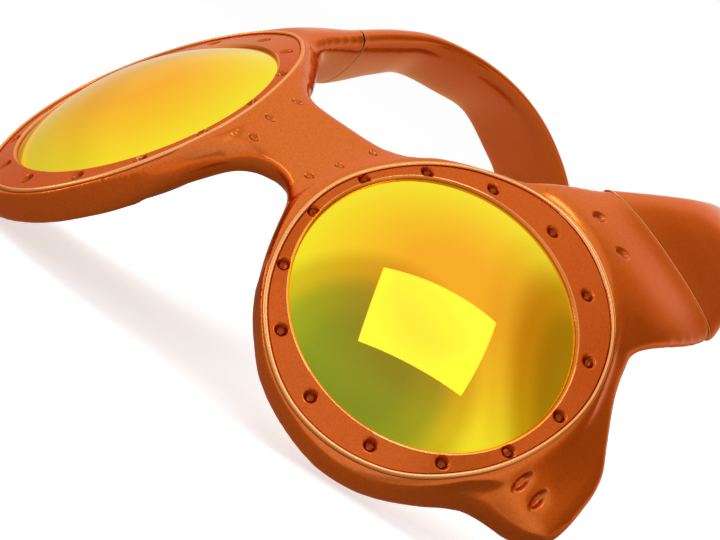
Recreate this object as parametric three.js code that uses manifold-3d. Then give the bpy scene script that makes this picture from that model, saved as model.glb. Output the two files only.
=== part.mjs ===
// Over-the-head sports eyewear: a moulded front with two round mirrored lenses in dimpled rings,
// and two broad arms that run up over the brow and back over the crown of the head.
// Millimetres, +Z up, set down on a table as it rests: on the rims and on the tips of the arms.
import * as THREE from 'three';
import { mergeVertices } from 'three/addons/utils/BufferGeometryUtils.js';
import Module from 'manifold-3d';

const wasm = await Module();
wasm.setup();

// Lenses and their place on the face
const LENS_SIGHT = 24; // radius of the ring's inner edge, what is seen of the lens
const LENS_OVERLAP = 0.5; // how far the lens runs on behind the ring
const LENS_THICK = 2;
const LENS_CURVE = 50; // radius of the front of the lens
const LENS_DEPTH = 0.5; // how far the edge of the lens lies below the ring's inner edge
const LENS_SPREAD = 35.05; // from the centre plane to a lens centre
const WRAP = THREE.MathUtils.degToRad(25.9); // each lens turns this much to its side

// Lens ring, round inside and a lopsided oval outside
// Its width at every thirty degrees, from the outer side over the top
const RING_WIDTHS = [2.3, 4.2, 6.5, 7, 3.9, 1.7, 1.5, 1.8, 3.2, 4.8, 4.3, 2.5];
const RING_SLOPE = Math.tan(THREE.MathUtils.degToRad(11)); // the face falls away outward
const RING_THICK = 2.8;
const RING_BEVEL = 0.4; // width of the slope from the ring's face down to the lens
const RING_CHAMFER = 0.35;
const DIMPLES = 14;
const DIMPLE_FIRST = THREE.MathUtils.degToRad(12.5);
const DIMPLE = [1.1, 1.1, 0.75]; // half sizes along the ring, across it and into it
const DIMPLE_PLACE = 0.44; // their place across the ring, as a share of its width

// Front frame
const FIT = 0.3; // gap between pieces that seat in one another
const LENS_PLAY = 0.2; // gap round the lens
const LIP = 0.3; // how far the bead round the ring stands above its face
const LIP_WIDE = 0.8;
const SEAT = 3; // width of the ledge behind the lens
const FRAME_BACK = 7.6; // depth of the rim behind the ring's face
const EDGE_THICK = 6.2; // height of the frame's rounded outer edge
const EDGE_ROUND = 2.6;
const HOLLOW = 0.5; // dip between the bead and the outer edge
const BACK_ROUND = 0.8;
// Outer edge of the left half, round the lens: angle, reach beyond the ring, depth behind its face
const EDGE = [
  [4, 11.5, 8.4],
  [13, 10.2, 8.4],
  [20, 7.8, 8],
  [27, 6, 7.6],
  [34, 4.9, 7.4],
  [41, 4.8, 7.8],
  [48, 5.9, 8.8],
  [60, 6.4, 10.2],
  [84, 5.9, 8.6],
  [103, 2.5, 5.2],
  [119, 1.4, 3.8],
  [140, 2.2, 3.8],
  [151, 5.2, 5],
  [186, 5.3, 5.4],
  [196, 3.1, 4],
  [211, 1.8, 3.6],
  [229, 1.2, 3.6],
  [240, 1, 3.6],
  [257, 1.4, 3.8],
  [285, 2.9, 4.2],
  [300, 3.3, 4.4],
  [317, 3.3, 5],
  [330, 4.1, 5.8],
  [336, 6.2, 6.6],
  [342, 10.1, 7.4],
  [348, 12.9, 8],
  [355, 12.8, 8.4],
];
// The edge's two stations at the bridge: angle, how far they run past the middle before the halves join
const BRIDGE = [[161, 4.9], [179, 6.7]];
const BRIDGE_DEEP = 10.8;
const HALF_LAP = 0.2; // how far each half runs past the middle to fuse with the other

// Arms: inner rail, outer rail and thickness, root to tip, sideways from the lens centre;
// the first stations lie inside the rim
const ARM = [
  [[-13.25, 22, 2.5], [17.45, 20, -12.6], 7],
  [[-9.65, 31, 1.5], [18.6, 32, -17.8], 7.6],
  [[-5.75, 46, -7], [15.3, 51.4, -31.8], 6.2],
  [[-3.75, 58.5, -14.7], [12.2, 61.8, -34], 5.4],
  [[-3.25, 68, -21.5], [12.4, 70.5, -38.5], 4.7],
  [[-5.55, 79.4, -32.5], [12, 82, -50], 4.3],
  [[-6.05, 91, -48], [11.5, 90, -59.2], 4],
  [[-6.05, 100.5, -66], [11.1, 96.5, -73.3], 3.8],
  [[-6.05, 106.5, -85], [10.95, 101, -86], 3.7],
  [[-5.55, 108, -108], [10.45, 102, -108], 3.6],
  [[-4.55, 103, -130], [8.95, 97, -129.5], 3.4],
  [[-2.55, 95, -145], [6.45, 91, -143.5], 2.6],
];
const SEAM_INDEX = 2; // where the arm parts from the front
const ARM_LONG = 145; // how far back the arms reach: behind the seam the rails stretch to it
const SEAM_GAP = 0.25;
const SEAM_CHAMFER = 0.2;
const ARM_SQUARE = 2.25; // how square the arm's section is: 2 is an ellipse
const TIP = [[1.4, 0.82], [2.2, 0.5]]; // rounding of the tip: how far on, what share of the section

// Hinge of each arm, along the seam and hidden in its thickness
const HINGE_DEEP = 2.7; // from the outer side of the arm to the pin's axis
const HINGE_GAP = 0.35;
const PIN_R = 0.7;
const PIN_PLAY = 0.2;
const KNUCKLE_R = 1.5;
const KNUCKLE_LONG = 4.4;
const PIN_SHY = 0.4; // the pin's ends lie this far inside the outer knuckles

// Soft pads, let into the back of the rims and the inner side of the arms
const NOSE_PAD = { fromAngle: 200, toAngle: 244, inset: 0.4, wide: 3, sunk: 1.3, proud: 0.35 };
const GRIP_PAD = { startShare: 0.78, endShare: 0.955, wideShare: 0.5, thick: 2.4 };

// Pressed-in dimples of the front: angle round the lens and distance beyond its ring,
// half sizes, and how far the long side turns from pointing at the lens
const BRIDGE_DIMPLES = { at: [[180.4, 4.4], [170.3, 3.4], [157.1, 4.2]], size: [1.15, 0.65, 0.6], turn: 0 };
const BROW_DIMPLES = { at: [[86.9, 6.7], [76.3, 7]], size: [1.8, 1.1, 0.8], turn: -20 };
const LOBE_DIMPLES = { at: [[348.2, 3.4], [351.4, 6.6]], size: [2.2, 1, 0.9], turn: 110 };

const STATIONS = 66;
const RING_STATIONS = 42;
const ARM_STEPS = 26;
const ARM_POINTS = 18;
const ROUND = 20;

const copper = { color: 0xb8602c, roughness: 0.3, metalness: 0.75 };
const looks = {
  frame: copper,
  ring: { color: 0xb05a28, roughness: 0.32, metalness: 0.75 },
  lens: { color: 0xf0b428, roughness: 0.05, metalness: 0.9 },
  rubber: { color: 0x2a2622, roughness: 0.85, metalness: 0 },
  steel: { color: 0xa9a9ad, roughness: 0.35, metalness: 1 },
};
const FAR = 6 * (LENS_SPREAD + LENS_SIGHT); // beyond every piece of the front
const V = (x, y, z) => new THREE.Vector3(x, y, z);
const lerp = THREE.MathUtils.lerp;
const rad = THREE.MathUtils.degToRad;

// Bare positions and index, welded, without slivers of no area
function bare(geometry) {
  const g = geometry.clone();
  for (const name of Object.keys(g.attributes)) {
    if (name !== 'position') {
      g.deleteAttribute(name);
    }
  }
  const welded = mergeVertices(g, 1e-4);
  const index = welded.index.array;
  const kept = [];
  for (let i = 0; i < index.length; i += 3) {
    const [a, b, c] = index.slice(i, i + 3);
    if (a !== b && b !== c && c !== a) {
      kept.push(a, b, c);
    }
  }
  welded.setIndex(kept);
  return welded;
}

function solid(geometry) {
  const g = bare(geometry);
  const vertProperties = Float32Array.from(g.attributes.position.array);
  const triVerts = Uint32Array.from(g.index.array);
  return new wasm.Manifold(new wasm.Mesh({ numProp: 3, vertProperties, triVerts }));
}

function geometryOf(manifold) {
  const mesh = manifold.getMesh();
  const positions = new Float32Array(mesh.numVert * 3);
  for (let i = 0; i < mesh.numVert; i += 1) {
    positions.set(mesh.vertProperties.subarray(i * mesh.numProp, i * mesh.numProp + 3), i * 3);
  }
  const g = new THREE.BufferGeometry();
  g.setAttribute('position', new THREE.BufferAttribute(positions, 3));
  g.setIndex(Array.from(mesh.triVerts));
  return g;
}

// Skin over a row of equal sections; a closed row joins its last section to its first
function loft(sections, closed) {
  const count = sections[0].length;
  const points = sections.flat();
  const index = [];
  const rows = closed ? sections.length : sections.length - 1;
  for (let i = 0; i < rows; i += 1) {
    const a = i * count;
    const b = ((i + 1) % sections.length) * count;
    for (let j = 0; j < count; j += 1) {
      const k = (j + 1) % count;
      index.push(a + j, b + j, b + k, a + j, b + k, a + k);
    }
  }
  if (!closed) {
    for (const [start, flip] of [[0, false], [(sections.length - 1) * count, true]]) {
      const middle = V(0, 0, 0);
      for (let j = 0; j < count; j += 1) {
        middle.addScaledVector(points[start + j], 1 / count);
      }
      const m = points.push(middle) - 1;
      for (let j = 0; j < count; j += 1) {
        const k = (j + 1) % count;
        index.push(m, start + (flip ? k : j), start + (flip ? j : k));
      }
    }
  }
  const g = new THREE.BufferGeometry().setFromPoints(points);
  g.setIndex(index);
  return outward(g);
}

// Turns the faces outward where the volume came out negative
function outward(g) {
  const p = g.attributes.position;
  const index = Array.from(g.index.array);
  const corners = [V(), V(), V()];
  let volume = 0;
  for (let i = 0; i < index.length; i += 3) {
    corners.forEach((corner, j) => corner.fromBufferAttribute(p, index[i + j]));
    volume += corners[0].dot(corners[1].clone().cross(corners[2]));
  }
  if (volume < 0) {
    for (let i = 0; i < index.length; i += 3) {
      [index[i + 1], index[i + 2]] = [index[i + 2], index[i + 1]];
    }
    g.setIndex(index);
  }
  return g;
}

function mirrored(geometry) {
  return outward(bare(geometry).scale(-1, 1, 1));
}

// From lens coordinates (outward, up, along the lens axis) to the face
function onFace(h, v, n) {
  const x = LENS_SPREAD + h * Math.cos(WRAP) + n * Math.sin(WRAP);
  return V(x, v, n * Math.cos(WRAP) - h * Math.sin(WRAP));
}

const ringWidths = new THREE.CatmullRomCurve3(RING_WIDTHS.map((w) => V(w, 0, 0)), true, 'catmullrom');
function ovalRadius(angle, grow) {
  const turns = angle / (2 * Math.PI);
  return LENS_SIGHT + ringWidths.getPoint(turns - Math.floor(turns)).x + grow;
}
const ringFace = (r) => (LENS_SIGHT - r) * RING_SLOPE;

// Closed polar loft about the lens axis: profile(angle, i) gives [radius, height] pairs
function polar(angles, profile, place) {
  const sections = angles.map((angle, i) => {
    const pairs = profile(angle, i);
    return pairs.map(([r, n]) => place(r * Math.cos(angle), r * Math.sin(angle), n));
  });
  return loft(sections, true);
}
const evenAngles = (count) => Array.from({ length: count }, (_, i) => (i / count) * 2 * Math.PI);

const lensRadius = LENS_SIGHT + LENS_OVERLAP;
const bevelFoot = LENS_SIGHT - RING_BEVEL;
const lensCentre = -LENS_DEPTH - Math.sqrt(LENS_CURVE ** 2 - bevelFoot ** 2);
const lensFront = (r) => lensCentre + Math.sqrt(LENS_CURVE ** 2 - r ** 2);
const lensBack = (r) => lensCentre + Math.sqrt((LENS_CURVE - LENS_THICK) ** 2 - r ** 2);
const seatRadius = lensRadius + FIT;
const seatTop = lensBack(lensRadius) - LENS_PLAY;
const pocketFloor = -RING_THICK - FIT;
const boreRadius = seatRadius - SEAT;

// Half of the front frame: one section at each station of its outer edge
const bridgeRows = BRIDGE.map(([degrees, past]) => {
  const across = (LENS_SPREAD + past - BRIDGE_DEEP * Math.sin(WRAP)) / Math.cos(WRAP);
  return [degrees, -across / Math.cos(rad(degrees)) - ovalRadius(rad(degrees), FIT), BRIDGE_DEEP];
});
const edgeCurve = new THREE.CatmullRomCurve3(
  [...EDGE, ...bridgeRows].sort((a, b) => a[0] - b[0]).map(([degrees, reach, depth]) => {
    const r = ovalRadius(rad(degrees), FIT) + reach;
    return V(r * Math.cos(rad(degrees)), r * Math.sin(rad(degrees)), -depth);
  }),
  true,
  'centripetal',
);
const edgePoints = edgeCurve.getSpacedPoints(STATIONS).slice(0, STATIONS);

function rimProfile(angle, i) {
  const edge = edgePoints[i];
  const pocket = ovalRadius(angle, FIT);
  const reach = Math.hypot(edge.x, edge.y);
  const crest = pocket + LIP_WIDE;
  const bead = ringFace(pocket) + LIP;
  const shoulder = ringFace(crest) + 0.6 * LIP;
  const round = Math.min(EDGE_ROUND, 0.7 * Math.max(0.1, reach - crest));
  const half = EDGE_THICK / 2;
  const top = Math.min(edge.z + half, shoulder - 0.2);
  const low = edge.z - half;
  const pairs = [
    [boreRadius, BACK_ROUND - FRAME_BACK],
    [boreRadius, seatTop],
    [seatRadius, seatTop],
    [seatRadius, pocketFloor],
    [pocket, pocketFloor],
    [pocket, bead - 0.45 * LIP],
    [pocket + 0.4 * LIP_WIDE, bead],
    [Math.min(crest, reach - 0.2), shoulder],
  ];
  for (const t of [0.3, 0.65]) {
    const dip = HOLLOW * 4 * t * (1 - t) * Math.min(1, Math.max(0, reach - crest) / 4);
    pairs.push([lerp(Math.min(crest, reach - 0.2), reach - round, t), lerp(shoulder, top, t) - dip]);
  }
  const middle = (top + low) / 2;
  for (let k = 0; k <= 6; k += 1) {
    const turn = Math.PI * (0.5 - k / 6);
    pairs.push([reach - round * (1 - Math.cos(turn)), middle + ((top - low) / 2) * Math.sin(turn)]);
  }
  const foot = Math.min(pocket - 1, reach - round - 0.3);
  pairs.push([lerp(reach - round, foot, 0.5), lerp(low, -FRAME_BACK, 0.5)]);
  pairs.push([foot, -FRAME_BACK], [boreRadius + BACK_ROUND, -FRAME_BACK]);
  return pairs;
}

// Arm sections between its two rails
function rail(side) {
  const seamDepth = ARM[SEAM_INDEX][0][2];
  const tipDepth = ARM[ARM.length - 1][0][2];
  const stretch = (ARM_LONG + seamDepth) / (seamDepth - tipDepth);
  const depths = ARM.map((row) => row[side][2]);
  const start = depths[SEAM_INDEX];
  const points = ARM.map((row, i) => {
    const z = i > SEAM_INDEX ? start + (depths[i] - start) * stretch : depths[i];
    return V(LENS_SPREAD + row[side][0], row[side][1], z);
  });
  return new THREE.CatmullRomCurve3(points);
}
const railIn = rail(0);
const railOut = rail(1);
const railThick = new THREE.SplineCurve(ARM.map(([, , t], i) => new THREE.Vector2(i, t)));

function armFrame(t) {
  const a = railIn.getPoint(t);
  const b = railOut.getPoint(t);
  const across = b.clone().sub(a);
  const wide = across.length();
  across.normalize();
  const travel = railIn.getTangent(t).add(railOut.getTangent(t));
  const normal = across.clone().cross(travel).normalize();
  const middle = a.clone().add(b).multiplyScalar(0.5);
  return { middle, across, normal, wide, thick: railThick.getPoint(t).y };
}

function armSection(f, wide, thick) {
  return evenAngles(ARM_POINTS).map((turn) => {
    const c = Math.cos(turn);
    const s = Math.sin(turn);
    const u = Math.sign(c) * Math.abs(c) ** (2 / ARM_SQUARE) * (wide / 2);
    const w = Math.sign(s) * Math.abs(s) ** (2 / ARM_SQUARE) * (thick / 2);
    return f.middle.clone().addScaledVector(f.across, u).addScaledVector(f.normal, w);
  });
}

function armSections(from, to, count) {
  const stops = Array.from({ length: count + 1 }, (_, i) => lerp(from, to, i / count));
  return stops.map(armFrame).map((f) => armSection(f, f.wide, f.thick));
}

const seamAt = SEAM_INDEX / (ARM.length - 1);
const seam = armFrame(seamAt);
const seamFace = seam.across.clone().cross(seam.normal).normalize();
if (seamFace.y < 0) {
  seamFace.negate();
}

// Chamfered end at the seam, moved off it
function seamEnd(off) {
  const section = armSection(seam, seam.wide - 2 * SEAM_CHAMFER, seam.thick - 2 * SEAM_CHAMFER);
  return section.map((p) => p.addScaledVector(seamFace, off));
}

function armSkin() {
  const sections = armSections(seamAt, 1, ARM_STEPS);
  sections[0].forEach((p) => p.addScaledVector(seamFace, SEAM_GAP + SEAM_CHAMFER));
  sections.unshift(seamEnd(SEAM_GAP));
  const end = armFrame(1);
  const way = railIn.getTangent(1).add(railOut.getTangent(1)).normalize();
  for (const [on, share] of TIP) {
    const tip = { ...end, middle: end.middle.clone().addScaledVector(way, on) };
    sections.push(armSection(tip, end.wide * share, end.thick * share));
  }
  return solid(loft(sections, false));
}

// Hinge: barrels along the seam, under the outer side of the arm
const hinge = seam.middle.clone();
hinge.addScaledVector(seam.normal, seam.thick / 2 - HINGE_DEEP);
hinge.addScaledVector(seamFace, SEAM_GAP / 2);
const along = new THREE.Quaternion().setFromUnitVectors(V(0, 1, 0), seam.across);

function barrel(radius, from, to) {
  const g = new THREE.CylinderGeometry(radius, radius, to - from, ROUND);
  g.translate(0, (from + to) / 2, 0);
  g.applyQuaternion(along);
  g.translate(hinge.x, hinge.y, hinge.z);
  return solid(g);
}
const halfKnuckle = KNUCKLE_LONG / 2;
const inEnd = halfKnuckle + HINGE_GAP;
const outEnd = inEnd + KNUCKLE_LONG;
const bore = barrel(PIN_R + PIN_PLAY, -outEnd - 1, outEnd + 1);
const frontSpans = [[-outEnd, -inEnd], [inEnd, outEnd]];

// Ellipsoid pressed into a surface: its third axis along the surface's normal
function press(point, normal, first, sizes) {
  const z = normal.clone().normalize();
  const y = z.clone().cross(first).normalize();
  const x = y.clone().cross(z);
  const g = new THREE.SphereGeometry(1, 8, 6);
  g.scale(...sizes);
  g.applyMatrix4(new THREE.Matrix4().makeBasis(x, y, z).setPosition(point));
  return solid(g);
}

// Where a line from outside first meets a body, and the way that face looks
function strike(geometry, from, way) {
  const target = new THREE.Mesh(geometry, new THREE.MeshBasicMaterial({ side: THREE.DoubleSide }));
  const [hit] = new THREE.Raycaster(from, way.clone().normalize()).intersectObject(target);
  return { point: hit.point, normal: hit.face.normal.clone() };
}

// Nose pad, lying along the back of the rim; grow makes its recess
function nosePad(grow) {
  const { fromAngle, toAngle, inset, wide, sunk, proud } = NOSE_PAD;
  const count = 10;
  const sections = [];
  for (let i = 0; i <= count; i += 1) {
    const t = i / count;
    const angle = rad(lerp(fromAngle, toAngle, t)) + (2 * t - 1) * (grow / LENS_SIGHT);
    const full = Math.sqrt(1 - 0.85 * (2 * t - 1) ** 4);
    const r = boreRadius + inset + wide / 2;
    const ring = evenAngles(12).map((turn) => {
      const across = r + (full * wide * 0.5 + grow) * Math.cos(turn);
      const rise = Math.sin(turn) > 0 ? sunk + grow : full * proud + grow;
      return onFace(
        across * Math.cos(angle),
        across * Math.sin(angle),
        -FRAME_BACK + rise * Math.sin(turn),
      );
    });
    sections.push(ring);
  }
  return loft(sections, false);
}

// Grip pad on the inner side of the arm, near its tip
function gripPad(grow) {
  const { startShare, endShare, wideShare, thick } = GRIP_PAD;
  const count = 10;
  const sections = [];
  for (let i = 0; i <= count; i += 1) {
    const t = i / count;
    const f = armFrame(lerp(startShare, endShare, t) + (2 * t - 1) * grow * 0.004);
    const full = Math.sqrt(1 - 0.85 * (2 * t - 1) ** 4);
    f.middle.addScaledVector(f.normal, -f.thick / 2);
    sections.push(armSection(f, f.wide * wideShare * full + 2 * grow, thick * full + 2 * grow));
  }
  return loft(sections, false);
}

// Front frame: the left half, then both halves as one body
const edgeAngles = edgePoints.map((p) => Math.atan2(p.y, p.x));
const rim = solid(polar(edgeAngles, rimProfile, onFace));
const wellLine = evenAngles(RING_STATIONS).map((angle) => {
  const r = ovalRadius(angle, FIT) + 0.4 * LIP_WIDE;
  return new THREE.Vector2(r * Math.cos(angle), r * Math.sin(angle));
});
const well = new THREE.ExtrudeGeometry(new THREE.Shape(wellLine), { depth: FAR, bevelEnabled: false });
well.translate(0, 0, -FAR / 2);
well.rotateY(WRAP);
well.translate(LENS_SPREAD, 0, 0);
const rootSections = armSections(0, seamAt, 8);
rootSections[8].forEach((p) => p.addScaledVector(seamFace, -SEAM_CHAMFER));
rootSections.push(seamEnd(0));
const root = solid(loft(rootSections, false)).subtract(solid(well));
const beyond = new THREE.BoxGeometry(FAR, FAR, FAR).translate(-HALF_LAP - FAR / 2, 0, 0);
let halfFront = rim.add(root).subtract(solid(beyond));
const bareFront = geometryOf(halfFront);
const lensAxis = onFace(0, 0, 1).sub(onFace(0, 0, 0));
const dents = [BRIDGE_DIMPLES, BROW_DIMPLES, LOBE_DIMPLES].flatMap(({ at, size, turn }) => {
  return at.map(([degrees, beyond]) => {
    const angle = rad(degrees);
    const aim = rad(degrees + turn);
    const first = onFace(Math.cos(aim), Math.sin(aim), 0).sub(onFace(0, 0, 0));
    const r = ovalRadius(angle, FIT) + beyond;
    const from = onFace(r * Math.cos(angle), r * Math.sin(angle), FAR);
    const { point, normal } = strike(bareFront, from, lensAxis.clone().negate());
    return press(point, normal, first, size);
  });
});
for (const dent of dents) {
  halfFront = halfFront.subtract(dent);
}
halfFront = halfFront.subtract(solid(nosePad(FIT)));
halfFront = halfFront.subtract(barrel(KNUCKLE_R + HINGE_GAP, -inEnd, inEnd));
for (const [from, to] of frontSpans) {
  halfFront = halfFront.add(barrel(KNUCKLE_R, from, to));
}
const leftFront = geometryOf(halfFront.subtract(bore));
const front = geometryOf(solid(leftFront).add(solid(mirrored(leftFront))));

// Left arm and its pin
let armBody = armSkin().subtract(solid(gripPad(FIT)));
for (const [from, to] of frontSpans) {
  armBody = armBody.subtract(barrel(KNUCKLE_R + HINGE_GAP, from - HINGE_GAP, to + HINGE_GAP));
}
const arm = geometryOf(armBody.add(barrel(KNUCKLE_R, -halfKnuckle, halfKnuckle)).subtract(bore));
const pin = geometryOf(barrel(PIN_R, PIN_SHY - outEnd, outEnd - PIN_SHY));

// Lens, turned about its own axis
const lensLine = [];
for (let i = 0; i <= 7; i += 1) {
  lensLine.push(new THREE.Vector2((lensRadius * i) / 7, lensFront((lensRadius * i) / 7)));
}
for (let i = 4; i >= 0; i -= 1) {
  lensLine.push(new THREE.Vector2((lensRadius * i) / 4, lensBack((lensRadius * i) / 4)));
}
const lens = outward(bare(new THREE.LatheGeometry(lensLine, 2 * ROUND).rotateX(Math.PI / 2)));

// Lens ring with its dimples
function ringProfile(angle) {
  const outer = ovalRadius(angle, 0);
  return [
    [bevelFoot, lensFront(bevelFoot) + LENS_PLAY],
    [LENS_SIGHT - 0.1, -0.1],
    [LENS_SIGHT + 0.15, ringFace(LENS_SIGHT + 0.15)],
    [outer - RING_CHAMFER, ringFace(outer - RING_CHAMFER)],
    [outer, ringFace(outer) - RING_CHAMFER],
    [outer, -RING_THICK],
    [seatRadius, -RING_THICK],
    [seatRadius, lensFront(seatRadius) + LENS_PLAY],
  ];
}
let ringBody = solid(polar(evenAngles(RING_STATIONS), ringProfile, V));
for (const even of evenAngles(DIMPLES)) {
  const angle = even + DIMPLE_FIRST;
  const r = lerp(LENS_SIGHT, ovalRadius(angle, 0), DIMPLE_PLACE);
  const out = V(Math.cos(angle), Math.sin(angle), 0);
  const point = out.clone().multiplyScalar(r).setZ(ringFace(r));
  const round = V(-out.y, out.x, 0);
  ringBody = ringBody.subtract(press(point, out.clone().multiplyScalar(RING_SLOPE).setZ(1), round, DIMPLE));
}
const ring = geometryOf(ringBody);

// The assembly as worn: X to the wearer's left, Y up and Z ahead
function piece(parent, name, geometry, look) {
  const g = bare(geometry);
  g.computeVertexNormals();
  const mesh = new THREE.Mesh(g, new THREE.MeshStandardMaterial(look));
  mesh.name = name;
  parent.add(mesh);
}
const worn = new THREE.Group();
worn.name = 'as_worn';
piece(worn, 'front_frame', front, looks.frame);
for (const [side, sign] of [['left', 1], ['right', -1]]) {
  const sided = (g) => (sign > 0 ? g : mirrored(g));
  const eye = new THREE.Group();
  eye.name = `eye_${side}`;
  eye.position.x = sign * LENS_SPREAD;
  eye.rotation.y = sign * WRAP;
  worn.add(eye);
  piece(eye, `lens_${side}`, lens, looks.lens);
  piece(eye, `lens_ring_${side}`, sided(ring), looks.ring);
  piece(worn, `arm_${side}`, sided(arm), looks.frame);
  piece(worn, `hinge_pin_${side}`, sided(pin), looks.steel);
  piece(worn, `nose_pad_${side}`, sided(nosePad(0)), looks.rubber);
  piece(worn, `grip_pad_${side}`, sided(gripPad(0)), looks.rubber);
}

// Set down on a table: tipped back until the rims and the arms' tips both touch
function lowest(geometry, tip) {
  const p = geometry.attributes.position;
  let best = V(0, 0, Infinity);
  for (let i = 0; i < p.count; i += 1) {
    const point = V().fromBufferAttribute(p, i);
    if (point.clone().applyEuler(tip).z < best.clone().applyEuler(tip).z || best.z === Infinity) {
      best = point;
    }
  }
  return best;
}
const tip = new THREE.Euler(Math.PI / 4, 0, 0);
for (let i = 0; i < 6; i += 1) {
  const low = lowest(front, tip);
  const back = lowest(arm, tip);
  tip.x = Math.atan2(low.z - back.z, back.y - low.y);
}
worn.rotation.copy(tip);
const part = new THREE.Group();
part.name = 'eyewear';
part.add(worn);
part.updateMatrixWorld(true);
const box = new THREE.Box3().setFromObject(part, true);
worn.position.set(0, -(box.min.y + box.max.y) / 2, -box.min.z);

export default part;
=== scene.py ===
# %% [markdown]
# Over-the-head sports eyewear, dressed for a studio picture.
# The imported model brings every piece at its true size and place. It could be shown as it is, but
# its solids are faceted and plain. This script loads it, gives each piece a smooth skin and a
# real finish in the same place, and sets up a white studio.

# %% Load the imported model
import math

import bmesh
import bpy
from mathutils import Matrix, Vector
from mathutils.bvhtree import BVHTree


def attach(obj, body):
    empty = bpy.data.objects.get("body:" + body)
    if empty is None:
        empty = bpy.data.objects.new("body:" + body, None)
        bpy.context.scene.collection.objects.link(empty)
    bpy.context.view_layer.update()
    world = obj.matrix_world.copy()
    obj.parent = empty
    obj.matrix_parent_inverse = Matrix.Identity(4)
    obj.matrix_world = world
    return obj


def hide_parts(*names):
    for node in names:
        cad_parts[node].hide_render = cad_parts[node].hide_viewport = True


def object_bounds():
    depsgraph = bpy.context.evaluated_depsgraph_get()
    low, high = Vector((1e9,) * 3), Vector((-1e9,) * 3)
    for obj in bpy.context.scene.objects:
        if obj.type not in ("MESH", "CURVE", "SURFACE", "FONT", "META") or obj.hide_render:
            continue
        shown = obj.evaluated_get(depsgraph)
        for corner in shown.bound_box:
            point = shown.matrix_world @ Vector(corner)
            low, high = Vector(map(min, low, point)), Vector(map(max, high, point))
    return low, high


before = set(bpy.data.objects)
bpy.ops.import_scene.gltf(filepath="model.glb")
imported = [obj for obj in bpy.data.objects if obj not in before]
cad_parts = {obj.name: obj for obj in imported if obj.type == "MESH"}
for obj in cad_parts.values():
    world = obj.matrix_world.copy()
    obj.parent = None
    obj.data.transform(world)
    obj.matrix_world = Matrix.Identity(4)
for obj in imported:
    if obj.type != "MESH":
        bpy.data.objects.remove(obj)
cad_box = [list(corner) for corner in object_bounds()]
scene = bpy.context.scene

# %% [markdown]
# The object is easiest to describe as it is worn: X to the wearer's left, Y up and Z ahead, with
# the point midway between the lenses as origin. Every value could be worked out again for the
# table, where the object lies tipped back, but then hardly a number would be a plain one. So the
# shapes are made as worn, and WORN carries them to the table. eye() does the same for lens
# coordinates, which run outward, up and along the lens axis.

# %% Sizes shared by several pieces, in metres
MM = 0.001
TIP = math.radians(48.26215)
SHIFT = Vector((0, -75.58284, 29.21917)) * MM
SPREAD = 35.05 * MM
WRAP = math.radians(25.9)
SIGHT = 24 * MM
LENS_R = 24.5 * MM
LENS_CURVE = 50 * MM
LENS_CENTRE = -44.5799 * MM
RING_WIDTHS = (2.3, 4.2, 6.5, 7, 3.9, 1.7, 1.5, 1.8, 3.2, 4.8, 4.3, 2.5)  # every 30 degrees, mm
RING_SLOPE = math.tan(math.radians(11))
GAP = 0.3 * MM
WELD = 0.002 * MM
FACE = Matrix.Translation((SPREAD, 0, 0)) @ Matrix.Rotation(WRAP, 4, "Y")
WORN = Matrix.Translation(SHIFT) @ Matrix.Rotation(TIP, 4, "X")
FLIP = Matrix.Scale(-1, 4, (1, 0, 0))
SIDES = {"left": 1, "right": -1}


def eye(side):
    """Lens coordinates to the table, for side 1 (left) or -1 (right)."""
    turn = Matrix.Rotation(side * WRAP, 4, "Y")
    return WORN @ Matrix.Translation((side * SPREAD, 0, 0)) @ turn


def oval(angle):
    """Radius of the ring's lopsided outer edge: a smooth curve through its widths."""
    count = len(RING_WIDTHS)
    t = angle / math.tau % 1 * count
    i, w = int(t), t % 1
    a, b, c, d = (RING_WIDTHS[(i + k) % count] for k in (-1, 0, 1, 2))
    m, n = (c - a) / 2, (d - b) / 2
    square, cube = 3 * (c - b) - 2 * m - n, 2 * (b - c) + m + n
    return SIGHT + (b + m * w + square * w**2 + cube * w**3) * MM


def ring_face(r):
    """Height of the ring's sloping face at a radius."""
    return (SIGHT - r) * RING_SLOPE


def lens_front(r):
    """Height of the lens's front at a radius."""
    return LENS_CENTRE + math.sqrt(LENS_CURVE**2 - r**2)


def steps(start, end, count):
    return [start + (end - start) * i / count for i in range(count + 1)]


print("left lens centre:", tuple(round(x, 4) for x in eye(1).translation))

# %% [markdown]
# Every piece goes the same way: its shape is made in a bmesh, which becomes a smooth-shaded
# object with sharp edges kept sharp, and the object then rides on its CAD body in place of its
# CAD node. Doing that by hand for each piece would repeat the same ten lines, so two helpers do
# it, and a list keeps the finished pieces.

# %% From bmesh to finished piece
pieces = []


def add_object(bm, name, sharp=35):
    """Object from a bmesh, which is used up; edges that turn by more degrees stay sharp."""
    mesh = bpy.data.meshes.new(name)
    bm.to_mesh(mesh)
    bm.free()
    mesh.shade_smooth()
    mesh.set_sharp_from_angle(angle=math.radians(sharp))
    obj = bpy.data.objects.new(name, mesh)
    scene.collection.objects.link(obj)
    return obj


def finish_piece(obj, body, node, material):
    obj.data.materials.clear()
    obj.data.materials.append(material)
    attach(obj, body)
    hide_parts(node)
    pieces.append(obj)
    obj.data.calc_loop_triangles()
    print(f"{obj.name}: {len(obj.data.loop_triangles)} triangles")


print("pieces go into:", scene.collection.name)

# %% [markdown]
# Some steps are easier as modifiers than as bmesh operators: exact booleans and voxel remesh. A
# live modifier would have to travel with the piece, so it is run once on a working object and
# only its result is kept. The right-hand pieces are mirror images of the left-hand ones. Mirroring
# turns faces inside out, so they are reversed again.

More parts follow.
